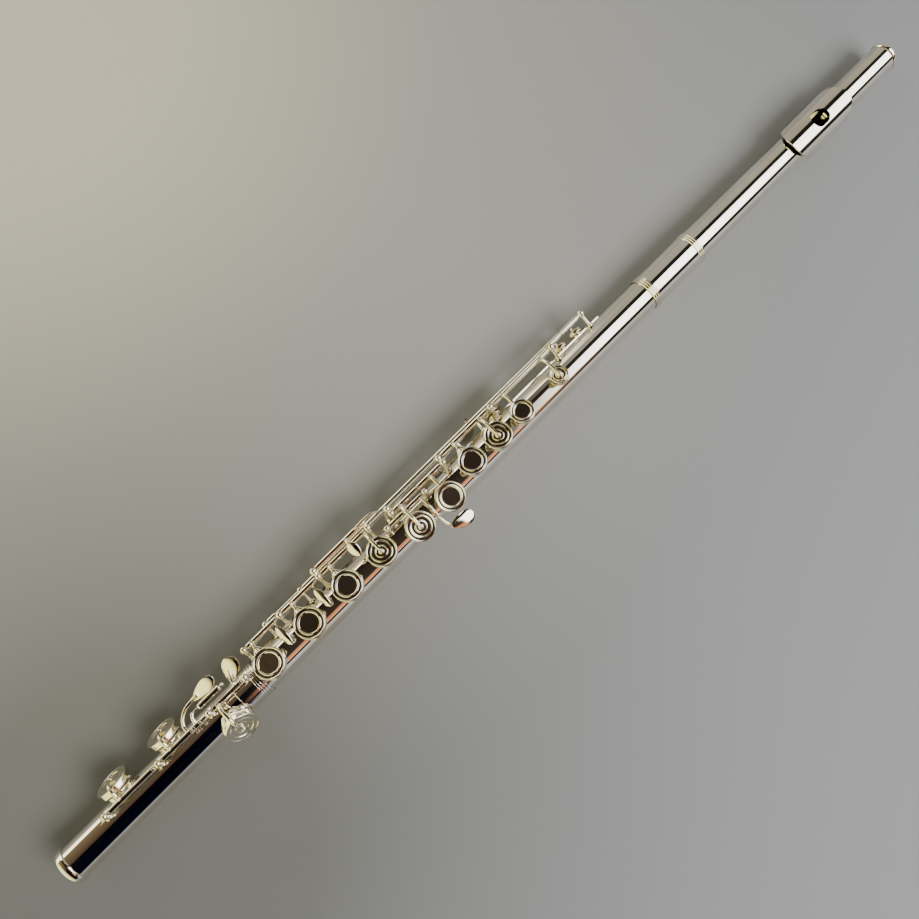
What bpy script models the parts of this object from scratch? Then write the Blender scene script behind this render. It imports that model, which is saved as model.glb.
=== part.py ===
"""Concert flute: closed holes, offset G, C foot, silver plated.

The flute lies along +X with its key tops up (+Z). The origin is the middle of the crown's
flat end face. The hinge rods are on the player's side (-Y), the G sharp touch is on the
far side (+Y). Lengths below are in millimetres, and each node is scaled to metres once.
A direction round the tube is an angle from straight up, positive towards +Y.
"""
import math

import bmesh
import bpy
from mathutils import Euler, Matrix, Vector

MM = 0.001

# ---- driving dimensions, in millimetres and degrees
FLUTE_LENGTH = 672.0
TUBE_R = 9.93
BORE_R = 9.5
FIT_GAP = 0.27
SOCKET_R = TUBE_R + FIT_GAP
SOCKET_OUTER_R = SOCKET_R + 0.3
RING_R = 10.8

CROWN_R = 9.4
CROWN_LENGTH = 3.0
LIP_CENTRE_X = 69.0
LIP_PLATE_X = (45.0, 95.0)
LIP_PLATE_HALF_WIDTH = 11.8
LIP_PLATE_R = (11.5, 12.3)
HOLE_HALF_LENGTH = 6.1
HOLE_HALF_WIDTH = 5.1

BARREL_X = (180.0, 223.5)
HEAD_END_X = 217.5
BODY_START_X = 219.0
BODY_END_X = 546.0
FOOT_START_X = 532.5
FOOT_SOCKET_END_X = 548.4

RIM_R = 11.9
CUP_TOP_R = 16.1
CUP_SKIRT = 3.4
CUP_WALL = 0.4
CUP_ROOF = 1.1
PAD_GAP = 0.3
TRILL_RIM_R = 11.3
TRILL_TOP_R = 14.2
TRILL_SKIRT = 2.2

HINGE_R = 1.6
HINGE_BORE_R = 1.2
STEEL_R = 0.9
BALL_R = 2.1
STEM_R = 1.1
BALL_OFFSET = 0.3
BALL_TURN = Euler((0.37, 0.23, 0.31)).to_matrix().to_4x4()
ARM_R = 1.0
RIB_R = (10.2, 10.95)
THIN_RIB_R = (10.27, 10.85)

# ---- hinge lines: the (y, z) of each line of rods
MAIN_LINE = (-16.0, 11.0)
TRILL_LINE = (-18.0, 7.5)
SIDE_LINE = (-20.1, 11.6)
G_LINE = (-12.4, 12.2)
G_SHARP_LINE = (-8.0, 11.5)
THUMB_LINE = (-17.9, 2.6)
FOOT_LINE = (-5.0, 13.6)

# ---- directions round the tube of the holes that aren't straight up
G_ANGLE = 20.0
TRILL_ANGLE = -95.0
BACK_ANGLE = -110.0
FOOT_SHARP_ANGLE = 55.0
FOOT_LOW_ANGLE = -74.0

# ---- how far each key that stands open is swung from closed
OPEN_ANGLE = 8.4
THUMB_OPEN_ANGLE = -12.5
FOOT_OPEN_ANGLE = -8.5

TUBE_SIDES = 32
CUP_SIDES = 16
ROD_SIDES = 8

# ---- finishes: colour, metallic, roughness
FINISHES = {
    "silver_plate": ((0.78, 0.76, 0.72), 1.0, 0.12),
    "hinge_steel": ((0.55, 0.55, 0.56), 1.0, 0.25),
    "pad_skin": ((0.72, 0.60, 0.38), 0.0, 0.6),
    "cork": ((0.45, 0.28, 0.14), 0.0, 0.9),
}


def clear_scene():
    for old in list(bpy.data.objects):
        bpy.data.objects.remove(old, do_unlink=True)


def finish(name):
    """The Principled material of one finish, made once."""
    material = bpy.data.materials.get(name)
    if material is None:
        colour, metallic, roughness = FINISHES[name]
        material = bpy.data.materials.new(name)
        material.use_nodes = True
        shader = material.node_tree.nodes["Principled BSDF"]
        shader.inputs["Base Color"].default_value = (*colour, 1.0)
        shader.inputs["Metallic"].default_value = metallic
        shader.inputs["Roughness"].default_value = roughness
    return material


# ---- shapes: each returns a closed mesh object in millimetres
def evaluated_copy(source):
    """Replace an object by the mesh that its modifiers or its curve make."""
    bpy.context.view_layer.update()
    graph = bpy.context.evaluated_depsgraph_get()
    mesh = bpy.data.meshes.new_from_object(source.evaluated_get(graph))
    placed = source.matrix_world.copy()
    bpy.data.objects.remove(source, do_unlink=True)
    shell = bmesh.new()
    shell.from_mesh(mesh)
    bmesh.ops.remove_doubles(shell, verts=shell.verts, dist=1e-4)
    bmesh.ops.recalc_face_normals(shell, faces=shell.faces)
    shell.to_mesh(mesh)
    shell.free()
    mesh.transform(placed)
    return linked(bpy.data.objects.new("shape", mesh))


def linked(item):
    bpy.context.scene.collection.objects.link(item)
    return item


def from_bmesh(shell):
    bmesh.ops.recalc_face_normals(shell, faces=shell.faces)
    mesh = bpy.data.meshes.new("shape")
    shell.to_mesh(mesh)
    shell.free()
    return linked(bpy.data.objects.new("shape", mesh))


def turned(profile, sides, closed, placing):
    """A turned solid: (radius, height) points swept once round Z, then placed."""
    points = [(radius, 0.0, height) for radius, height in profile]
    edges = [(i, i + 1) for i in range(len(points) - 1)]
    if closed:
        edges.append((len(points) - 1, 0))
    mesh = bpy.data.meshes.new("profile")
    mesh.from_pydata(points, edges, [])
    outline = linked(bpy.data.objects.new("profile", mesh))
    screw = outline.modifiers.new("Screw", "SCREW")
    screw.steps = sides
    screw.render_steps = sides
    screw.use_merge_vertices = True
    screw.merge_threshold = 1e-4
    outline.matrix_world = placing
    return evaluated_copy(outline)


def along_x(y=0.0, z=0.0):
    """Placing that lays a turned solid's height along X, at one (y, z)."""
    return Matrix.Translation((0.0, y, z)) @ Matrix.Rotation(math.pi / 2, 4, "Y")


def facing(x, angle):
    """Placing that points a turned solid's height out of the tube at one angle."""
    return Matrix.Translation((x, 0.0, 0.0)) @ Matrix.Rotation(math.radians(-angle), 4, "X")


def bar(x_start, x_end, radius, line=(0.0, 0.0), sides=ROD_SIDES):
    profile = [(0.0, x_start), (radius, x_start), (radius, x_end), (0.0, x_end)]
    return turned(profile, sides, False, along_x(*line))


def pipe(profile_out, profile_in, sides=TUBE_SIDES):
    """A tube along X from (x, radius) points of its outer and inner walls."""
    outline = [(radius, x) for x, radius in profile_out]
    outline += [(radius, x) for x, radius in reversed(profile_in)]
    return turned(outline, sides, True, along_x())


def disc(x, angle, radius, low, high, sides=CUP_SIDES):
    """A round plug standing out of the tube, between two heights above its axis."""
    profile = [(0.0, low), (radius, low), (radius, high), (0.0, high)]
    return turned(profile, sides, False, facing(x, angle))


def cup_shell(x, angle, radius, top=CUP_TOP_R, skirt=CUP_SKIRT):
    inner = radius - CUP_WALL
    profile = [
        (0.0, top),
        (radius - 1.0, top),
        (radius, top - 0.8),
        (radius, top - skirt),
        (inner, top - skirt),
        (inner, top - CUP_ROOF),
        (0.0, top - CUP_ROOF),
    ]
    return turned(profile, CUP_SIDES, False, facing(x, angle))


def wire(points, radius=ARM_R):
    """A round bar bent along a few points."""
    curve = bpy.data.curves.new("wire", "CURVE")
    curve.dimensions = "3D"
    curve.bevel_depth = radius
    curve.bevel_resolution = 1
    curve.use_fill_caps = True
    spline = curve.splines.new("POLY")
    spline.points.add(len(points) - 1)
    for target, place in zip(spline.points, points):
        target.co = (*place, 1.0)
    return evaluated_copy(linked(bpy.data.objects.new("wire", curve)))


def ball(place, radius=BALL_R):
    shell = bmesh.new()
    bmesh.ops.create_uvsphere(
        shell, u_segments=7, v_segments=4, radius=radius,
        matrix=Matrix.Translation(place) @ BALL_TURN)
    return from_bmesh(shell)


def touch(centre, half_x, half_y, thickness, tilt=0.0):
    """An oval finger plate, tilted about X."""
    shell = bmesh.new()
    placing = (Matrix.Translation(centre) @ Matrix.Rotation(math.radians(tilt), 4, "X")
               @ Matrix.Diagonal((half_x, half_y, 1.0, 1.0)))
    bmesh.ops.create_cone(
        shell, cap_ends=True, segments=14, radius1=1.0, radius2=1.0, depth=thickness,
        matrix=placing)
    return from_bmesh(shell)


def block(x_range, half_y, z_range, corner):
    """An upright block with rounded vertical edges."""
    shell = bmesh.new()
    size = (x_range[1] - x_range[0], 2 * half_y, z_range[1] - z_range[0])
    middle = (sum(x_range) / 2, 0.0, sum(z_range) / 2)
    bmesh.ops.create_cube(
        shell, size=1.0, matrix=Matrix.Translation(middle) @ Matrix.Diagonal((*size, 1.0)))
    upright = [e for e in shell.edges if abs(e.verts[0].co.z - e.verts[1].co.z) > 1.0]
    bmesh.ops.bevel(shell, geom=upright, offset=corner, segments=5, affect="EDGES", profile=0.5)
    return from_bmesh(shell)


def curved_plate(x_range, angles, radii, steps=6):
    """A plate that hugs the tube: a grid rolled to an arc, given its thickness."""
    shell = bmesh.new()
    bmesh.ops.create_grid(shell, x_segments=1, y_segments=steps, size=0.5)
    for vertex in shell.verts:
        turn = math.radians(angles[0] + (vertex.co.y + 0.5) * (angles[1] - angles[0]))
        x = x_range[0] + (vertex.co.x + 0.5) * (x_range[1] - x_range[0])
        vertex.co = (x, radii[0] * math.sin(turn), radii[0] * math.cos(turn))
    sheet = from_bmesh(shell)
    for face in sheet.data.polygons:
        outward = face.normal.y * face.center.y + face.normal.z * face.center.z
        if outward < 0:
            face.flip()
    wall = sheet.modifiers.new("Solidify", "SOLIDIFY")
    wall.thickness = radii[1] - radii[0]
    wall.offset = 1.0
    wall.use_even_offset = True
    return evaluated_copy(sheet)


def on_ring(x, angle, radius):
    """The point at one angle and distance from the tube's axis."""
    turn = math.radians(angle)
    return (x, radius * math.sin(turn), radius * math.cos(turn))


# ---- joining and cutting
def combine(first, others, operation):
    """One Boolean after another on the first shape; the others are used up."""
    result = first
    for other in others:
        step = result.modifiers.new(operation, "BOOLEAN")
        step.operation = operation
        step.object = other
        step.solver = "EXACT"
        result = evaluated_copy(result)
        bpy.data.objects.remove(other, do_unlink=True)
    return result


def node(name, shapes, material, cutters=(), pivot=(0.0, 0.0, 0.0), parent=None):
    """Make one named part: shapes joined, last to first, cutters taken away, origin on its pivot."""
    part = combine(shapes[-1], shapes[-2::-1], "UNION")
    if cutters:
        part = combine(part, list(cutters), "DIFFERENCE")
    part.data.transform(Matrix.Translation(-Vector(pivot)))
    part.data.transform(Matrix.Scale(MM, 4))
    part.data.shade_smooth()
    part.data.set_sharp_from_angle(angle=math.radians(32))
    part.data.materials.clear()
    part.data.materials.append(finish(material))
    part.name = name
    part.data.name = name
    if parent is None:
        part.location = Vector(pivot) * MM
    else:
        part.parent = parent
    for home in list(part.users_collection):
        home.objects.unlink(part)
    flute.objects.link(part)
    return part


def hinge_pivot(line, x):
    return (x, line[0], line[1])


def key(name, line, tube_x, shapes, bored=True, rest_angle=0.0):
    """A key on its hinge line: its tube, its own shapes, and its bore."""
    hinge = [bar(*tube_x, HINGE_R, line)]
    cutters = []
    if bored:
        cutters.append(bar(tube_x[0] - 1.0, tube_x[1] + 1.0, HINGE_BORE_R, line))
    pivot = hinge_pivot(line, tube_x[0])
    part = node(name, hinge + shapes, "silver_plate", cutters, pivot)
    part.rotation_euler.x = math.radians(rest_angle)
    return part, pivot


def pad(name, key_part, pivot, x, angle, cup_radius, rim=RIM_R, top=CUP_TOP_R):
    """The pad in a cup: a disc that stops short of the rim of its hole."""
    low = rim + PAD_GAP
    high = top - CUP_ROOF - PAD_GAP
    shape = disc(x, angle, cup_radius - CUP_WALL - PAD_GAP, low, high)
    return node(name, [shape], "pad_skin", pivot=pivot, parent=key_part)


# ---- where the holes are: name: (x, angle, cup radius)
RIM_INSET = 1.5
RIM_WALL = 0.5
BODY_CUPS = {
    "c_sharp": (299.0, 0.0, 5.7),
    "c": (329.0, 0.0, 7.3),
    "b_flat": (348.5, 0.0, 8.4),
    "a": (369.0, 0.0, 8.4),
    "upper_g": (391.5, G_ANGLE, 8.7),
    "lower_g": (414.8, G_ANGLE, 8.7),
    "f_sharp": (439.4, 0.0, 8.8),
    "f": (465.3, 0.0, 9.0),
    "e": (493.4, 0.0, 9.0),
    "d": (523.0, 0.0, 9.0),
    "thumb_b": (338.0, BACK_ANGLE, 7.0),
    "g_sharp": (416.0, BACK_ANGLE, 8.2),
}
TRILL_CUPS = {
    "d_sharp_trill": (269.0, TRILL_ANGLE, 4.9),
    "d_trill": (282.0, TRILL_ANGLE, 4.9),
}
FOOT_CUPS = {
    "foot_d_sharp": (557.4, FOOT_SHARP_ANGLE, 9.9),
    "foot_c_sharp": (590.2, FOOT_LOW_ANGLE, 9.9),
    "foot_c": (625.4, FOOT_LOW_ANGLE, 9.9),
}
CUPS = {**BODY_CUPS, **TRILL_CUPS, **FOOT_CUPS}


def chimneys(cups, rim_height):
    """The raised rims of a set of tone holes, and the cutters that open them."""
    rims = []
    holes = []
    for x, angle, cup_radius in cups.values():
        rim = cup_radius - RIM_INSET
        rims.append(disc(x, angle, rim, 5.0, rim_height))
        holes.append(disc(x, angle, rim - RIM_WALL, 3.0, rim_height + 1.0))
    return rims, holes


# ---- the head joint
def embouchure_hole(scale=1.0):
    """The oval of the blow hole as an upright plug."""
    shell = bmesh.new()
    placing = (Matrix.Translation((LIP_CENTRE_X, 0.0, 12.0))
               @ Matrix.Diagonal((HOLE_HALF_LENGTH * scale, HOLE_HALF_WIDTH * scale, 1.0, 1.0)))
    bmesh.ops.create_cone(
        shell, cap_ends=True, segments=20, radius1=1.0, radius2=1.0, depth=14.0, matrix=placing)
    return from_bmesh(shell)


def head_joint():
    outer = [(CROWN_LENGTH + 0.3, 8.85), (LIP_CENTRE_X, 9.1), (BARREL_X[0], 9.85), (HEAD_END_X, 9.9)]
    wall = 0.42
    inner = [(x, radius - wall) for x, radius in outer]
    node("head_tube", [pipe(outer, inner)], "silver_plate", [embouchure_hole()])

    plate = curved_plate(LIP_PLATE_X, (-76.0, 76.0), LIP_PLATE_R, steps=20)
    outline = block(LIP_PLATE_X, LIP_PLATE_HALF_WIDTH, (-2.0, 20.0), 8.0)
    plate = combine(plate, [outline], "INTERSECT")
    node("lip_plate", [plate], "silver_plate", [embouchure_hole()])

    riser = embouchure_hole(1.22)
    under_plate = bar(LIP_PLATE_X[0], LIP_PLATE_X[1], LIP_PLATE_R[0] - 0.3, sides=TUBE_SIDES)
    riser = combine(riser, [under_plate], "INTERSECT")
    tube_core = bar(LIP_PLATE_X[0], LIP_PLATE_X[1], 9.5, sides=TUBE_SIDES)
    node("embouchure_riser", [riser], "silver_plate", [tube_core, embouchure_hole()])

    screw = [(0.0, 4.4), (1.4, 4.4), (1.4, 51.0), (8.0, 51.0), (8.0, 52.0), (0.0, 52.0)]
    node("stopper_screw", [turned(screw, 24, False, along_x())], "silver_plate")
    node("cork_stopper", [pipe([(37.5, 8.2), (50.7, 8.2)], [(37.5, 1.75), (50.7, 1.75)], 24)], "cork")
    node("stopper_nut", [pipe([(35.2, 6.0), (37.2, 6.0)], [(35.2, 1.75), (37.2, 1.75)], 16)],
         "silver_plate")

    crown = [
        (0.0, 0.0), (CROWN_R - 0.4, 0.0), (CROWN_R, 0.4), (CROWN_R, CROWN_LENGTH),
        (8.0, CROWN_LENGTH), (8.0, 9.0), (1.8, 9.0), (1.8, 4.0), (0.0, 4.0),
    ]
    node("crown", [turned(crown, 24, False, along_x())], "silver_plate")


# ---- the body
def body_tubes():
    rims, holes = chimneys(BODY_CUPS, RIM_R)
    trill_rims, trill_holes = chimneys(TRILL_CUPS, TRILL_RIM_R)
    solid = bar(BODY_START_X, BODY_END_X, TUBE_R, sides=TUBE_SIDES)
    bore = bar(BODY_START_X - 1.0, BODY_END_X + 1.0, BORE_R, sides=TUBE_SIDES)
    node("body_tube", [solid] + rims + trill_rims, "silver_plate", [bore] + holes + trill_holes)

    start, end = BARREL_X
    outer = [
        (start, RING_R), (start + 4.6, RING_R), (start + 5.2, SOCKET_OUTER_R),
        (end - 5.2, SOCKET_OUTER_R), (end - 4.6, RING_R), (end, RING_R),
    ]
    node("barrel", [pipe(outer, [(start, SOCKET_R), (end, SOCKET_R)])], "silver_plate")


def post(line, x):
    """A post: a stem from its rib to the ball that holds the rod."""
    distance = math.hypot(*line)
    angle = math.degrees(math.atan2(line[0], line[1]))
    foot = on_ring(x, angle, RIB_R[0] + 0.3)
    return [wire([foot, on_ring(x, angle, distance - BALL_OFFSET)], STEM_R), ball((x, *line))]


def posts(line, places):
    made = []
    for x in places:
        made += post(line, x)
    return made


MAIN_POSTS_LEFT = (289.0, 339.0, 380.6, 421.0)
MAIN_POSTS_RIGHT = (436.0, 473.4, 502.7, 529.0)
SIDE_POSTS = (436.0, 473.4)
G_POSTS = (380.6, 421.0)
G_SHARP_POSTS = (399.4, 428.6)
TRILL_POST_LEFT = 261.0
TRILL_POSTS_RIGHT = (485.7, 511.9)
THUMB_POSTS = (326.4, 349.3, 365.8)
FOOT_POSTS = (538.0, 564.0, 600.0, 637.0)


def body_ribs():
    left = [
        curved_plate((248.6, 406.0), (-74.0, -51.0), RIB_R),
        curved_plate((378.0, 383.4), (-53.0, -40.0), THIN_RIB_R),
        curved_plate((397.2, 402.4), (-53.0, -29.0), THIN_RIB_R),
        curved_plate((419.4, 431.0), (-68.0, -29.0), RIB_R, steps=8),
        curved_plate((424.4, 426.9), (-31.0, 36.0), THIN_RIB_R, steps=10),
        curved_plate((404.5, 420.2), (-62.0, -51.6), THIN_RIB_R),
    ]
    left += [curved_plate((x - 2.3, x + 2.3), (-91.0, -72.0), THIN_RIB_R) for x in THUMB_POSTS]
    left += posts(MAIN_LINE, MAIN_POSTS_LEFT)
    left += posts(G_LINE, G_POSTS)
    left += posts(G_SHARP_LINE, G_SHARP_POSTS)
    left += posts(TRILL_LINE, (TRILL_POST_LEFT,))
    left += posts(THUMB_LINE, THUMB_POSTS)
    bored_left = (
        (MAIN_LINE, 285.0, 425.0), (G_LINE, 377.0, 424.0), (G_SHARP_LINE, 396.0, 432.0),
        (TRILL_LINE, 257.0, 265.0), (THUMB_LINE, 323.0, 369.0),
    )
    cutters = [bar(start, end, HINGE_BORE_R, line) for line, start, end in bored_left]
    node("left_hand_rib", left, "silver_plate", cutters)

    right = [curved_plate((432.6, 531.2), (-74.0, -51.0), RIB_R)]
    right += posts(MAIN_LINE, MAIN_POSTS_RIGHT)
    right += posts(TRILL_LINE, TRILL_POSTS_RIGHT)
    for x in SIDE_POSTS:
        right += [wire([(x, *MAIN_LINE), (x, *SIDE_LINE)], 1.5), ball((x, *SIDE_LINE))]
    bored_right = (
        (MAIN_LINE, 433.0, 532.0), (TRILL_LINE, 482.0, 515.0), (SIDE_LINE, 433.0, 477.0))
    cutters = [bar(start, end, HINGE_BORE_R, line) for line, start, end in bored_right]
    node("right_hand_rib", right, "silver_plate", cutters)


def body_rods():
    rods = {
        "left_hand_rod": (MAIN_LINE, 287.5, 421.5),
        "right_hand_rod": (MAIN_LINE, 422.3, 530.5),
        "side_lever_rod": (SIDE_LINE, 434.5, 475.0),
        "g_key_rod": (G_LINE, 379.0, 422.5),
        "g_sharp_rod": (G_SHARP_LINE, 398.0, 430.2),
        "thumb_rod": (THUMB_LINE, 324.8, 367.4),
    }
    for name, (line, start, end) in rods.items():
        node(name, [bar(start, end, STEEL_R, line)], "hinge_steel")


def padded_key(stem, line, tube_x, shapes, rest_angle, bored=True, cups=None, sizes=None):
    """A key with one or more cups, each holding its own pad."""
    cups = cups or (stem,)
    sizes = sizes or {}
    shells = [cup_shell(*CUPS[cup], **sizes.get("cup", {})) for cup in cups]
    part, pivot = key(stem + "_key", line, tube_x, shells + shapes, bored, rest_angle)
    for cup in cups:
        pad(cup + "_pad", part, pivot, *CUPS[cup], **sizes.get("pad", {}))
    return part


def arm_tip(x, angle):
    """The small knob that ends an arm at the middle of its cup."""
    return disc(x, angle, 1.3, CUP_TOP_R - 0.35, CUP_TOP_R + 1.85, sides=9)


def side_arm(stem):
    """The arm of a touch cup: from its tube into the side of the cup."""
    x, _, cup_radius = CUPS[stem]
    return wire([(x, *MAIN_LINE), (x, -12.4, 14.3), (x, CUP_WALL / 2 - cup_radius, 14.9)])


def centre_arm(x):
    """The arm of a covered cup: over the rim, to a ball at the cup's middle."""
    height = CUP_TOP_R + 0.6
    return [wire([(x, *MAIN_LINE), (x, -12.0, 15.2), (x, -8.0, height), (x, -BALL_OFFSET, height)], 0.9),
            arm_tip(x, 0.0)]


def body_keys():
    main = {
        "f_sharp": ((438.2, 452.6), centre_arm(439.4)),
        "f": ((453.2, 471.0), [side_arm("f")]),
        "e": ((475.8, 500.3), [side_arm("e")]),
        "d": ((505.1, 526.6), [side_arm("d")]),
        "a": ((359.1, 378.2), [side_arm("a")]),
        "b_flat": ((341.4, 358.5), centre_arm(348.5)),
    }
    for stem, (tube_x, shapes) in main.items():
        padded_key(stem, MAIN_LINE, tube_x, shapes, OPEN_ANGLE)
    c_arms = [side_arm("c")] + centre_arm(299.0)
    padded_key("c", MAIN_LINE, (291.4, 336.6), c_arms, OPEN_ANGLE, cups=("c", "c_sharp"))

    upper = [wire([(391.5, *G_LINE), (391.5, -8.6, 15.9), on_ring(391.5, -10.3, CUP_TOP_R + 1.0)])]
    padded_key("upper_g", G_LINE, (383.0, 400.9), upper, OPEN_ANGLE)
    top = CUP_TOP_R + 0.6
    lower = [wire([(414.8, *G_LINE), (414.8, -8.6, 16.0), on_ring(414.8, -9.0, 18.2),
                   on_ring(414.8, 0.0, 17.9), on_ring(414.8, G_ANGLE - 1.0, top)], 0.9),
             arm_tip(414.8, G_ANGLE)]
    padded_key("lower_g", G_LINE, (401.5, 418.6), lower, OPEN_ANGLE)


def g_sharp_key():
    """Closed key: the touch is on the far side, the cup on the player's side."""
    finger = wire([(403.2, *G_SHARP_LINE), (403.2, -4.0, 13.4), (403.2, 3.0, 13.3),
                   (403.2, 10.0, 10.6), (402.6, 14.0, 9.0), (399.5, 16.5, 8.5)])
    plate = touch((395.0, 18.0, 8.4), 7.6, 4.4, 1.3)
    lever = wire([(424.8, *G_SHARP_LINE), (424.8, -12.0, 8.9), (424.4, -14.8, 3.2),
                  (421.0, -16.8, -2.4), (416.0, -15.7, -5.7)])
    padded_key("g_sharp", G_SHARP_LINE, (401.9, 426.1), [finger, plate, lever], 0.0)


def trill_keys():
    """Two closed keys on one line: the D sharp key's shaft runs inside the D key's tube."""
    sizes = {"cup": {"top": TRILL_TOP_R, "skirt": TRILL_SKIRT},
             "pad": {"rim": TRILL_RIM_R, "top": TRILL_TOP_R}}

    def cup_arm(x):
        seat = on_ring(x, TRILL_ANGLE, TRILL_TOP_R - CUP_WALL)
        return wire([(x, *TRILL_LINE), (x, -18.6, 3.0), (x, -17.0, -1.0), seat])

    def paddle(x):
        arm = wire([(x, *TRILL_LINE), (x, -14.2, 7.7), (x, -11.6, 11.0), (x, -9.0, 14.6)])
        plate = touch((x, -5.6, 15.0), 2.5, 6.4, 1.2)
        return [arm, plate]

    shaft = bar(259.4, 513.6, STEEL_R, TRILL_LINE)
    collar = bar(504.4, 509.6, HINGE_R, TRILL_LINE)
    padded_key("d_sharp_trill", TRILL_LINE, (264.2, 277.8),
               [shaft, collar, cup_arm(269.0)] + paddle(507.8), 0.0, bored=False, sizes=sizes)
    padded_key("d_trill", TRILL_LINE, (278.6, 483.3),
               [cup_arm(282.0)] + paddle(479.4), 0.0, sizes=sizes)


def thumb_keys():
    plate_angle = -BACK_ANGLE
    seat = Vector(on_ring(338.0, BACK_ANGLE, 16.7))
    plate = touch(seat, 7.0, 5.0, 1.6, plate_angle)
    neck = wire([(338.0, *THUMB_LINE), (338.0, -18.9, -1.2), on_ring(338.0, -103.0, 16.7),
                 on_ring(338.0, -108.0, 16.5)])
    padded_key("thumb_b", THUMB_LINE, (328.8, 346.9), [neck, plate], THUMB_OPEN_ANGLE)

    seat = Vector(on_ring(357.6, BACK_ANGLE, 16.0))
    plate = touch(seat, 5.6, 5.0, 1.2, plate_angle)
    neck = wire([(357.6, *THUMB_LINE), (357.6, -17.6, -0.8), tuple(seat)])
    finger = wire([(353.4, *THUMB_LINE), (353.4, -21.2, 5.6), (353.4, -20.6, 9.4)], 0.8)
    key("thumb_b_flat_lever", THUMB_LINE, (351.7, 363.4), [plate, neck, finger])


def side_lever():
    spoon = touch((449.0, -12.2, 15.4), 3.2, 4.6, 1.2, -8.0)
    neck = wire([(449.0, *SIDE_LINE), (449.0, -18.4, 14.6), (449.0, -15.0, 15.6)])
    tail = wire([(440.4, *SIDE_LINE), (440.4, -20.3, 15.4), (430.0, -20.2, 15.4),
                 (424.8, -17.8, 14.8)], 0.8)
    key("side_b_flat_lever", SIDE_LINE, (438.3, 471.1), [spoon, neck, tail])


# ---- the foot joint
def foot_tubes():
    sleeve = SOCKET_OUTER_R
    outer = [
        (FOOT_START_X, RING_R), (FOOT_START_X + 4.4, RING_R), (FOOT_START_X + 5.0, sleeve),
        (FOOT_SOCKET_END_X, sleeve), (FOOT_SOCKET_END_X + 0.2, TUBE_R),
        (FLUTE_LENGTH - 5.0, TUBE_R), (FLUTE_LENGTH - 4.4, RING_R), (FLUTE_LENGTH, RING_R),
        (FLUTE_LENGTH, 0.0),
    ]
    outline = [(0.0, FOOT_START_X)] + [(radius, x) for x, radius in outer]
    solid = turned(outline, TUBE_SIDES, False, along_x())
    socket = bar(FOOT_START_X - 1.0, FOOT_SOCKET_END_X - 0.8, SOCKET_R, sides=TUBE_SIDES)
    bore = bar(FOOT_START_X - 1.0, FLUTE_LENGTH + 1.0, BORE_R, sides=TUBE_SIDES)
    rims, holes = chimneys(FOOT_CUPS, RIM_R)
    node("foot_tube", [solid] + rims, "silver_plate", [socket, bore] + holes)

    rib = [curved_plate((549.0, 646.0), (-17.5, -2.5), RIB_R, steps=3),
           curved_plate((539.0, 552.0), (-17.0, -3.0), (SOCKET_OUTER_R + 0.3, 11.4), steps=3),
           curved_plate((535.9, 541.0), (-27.0, -8.0), (SOCKET_OUTER_R + 0.4, 11.3), steps=3)]
    rib += [curved_plate((x - 2.1, x + 2.1), (-27.0, -8.0), THIN_RIB_R, steps=3)
            for x in FOOT_POSTS[1:]]
    rib += posts(FOOT_LINE, FOOT_POSTS[1:])
    stem_angle = math.degrees(math.atan2(*FOOT_LINE))
    end = on_ring(FOOT_POSTS[0], stem_angle, math.hypot(*FOOT_LINE) - BALL_OFFSET)
    rib += [wire([on_ring(FOOT_POSTS[0], stem_angle, 11.3), end], STEM_R),
            ball((FOOT_POSTS[0], *FOOT_LINE))]
    node("foot_rib", rib, "silver_plate", [bar(534.0, 641.0, HINGE_BORE_R, FOOT_LINE)])
    node("foot_rod", [bar(536.4, 562.6, STEEL_R, FOOT_LINE)], "hinge_steel")


def foot_cup_arm(x, angles):
    """The arm of a foot key, round the outside of the tube to the middle of its cup."""
    path = [(x, *FOOT_LINE)] + [on_ring(x, angle, radius) for angle, radius in angles]
    end_angle, end_radius = angles[-1]
    return [wire(path), ball(on_ring(x, end_angle * 1.02, end_radius), 1.5)]


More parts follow.
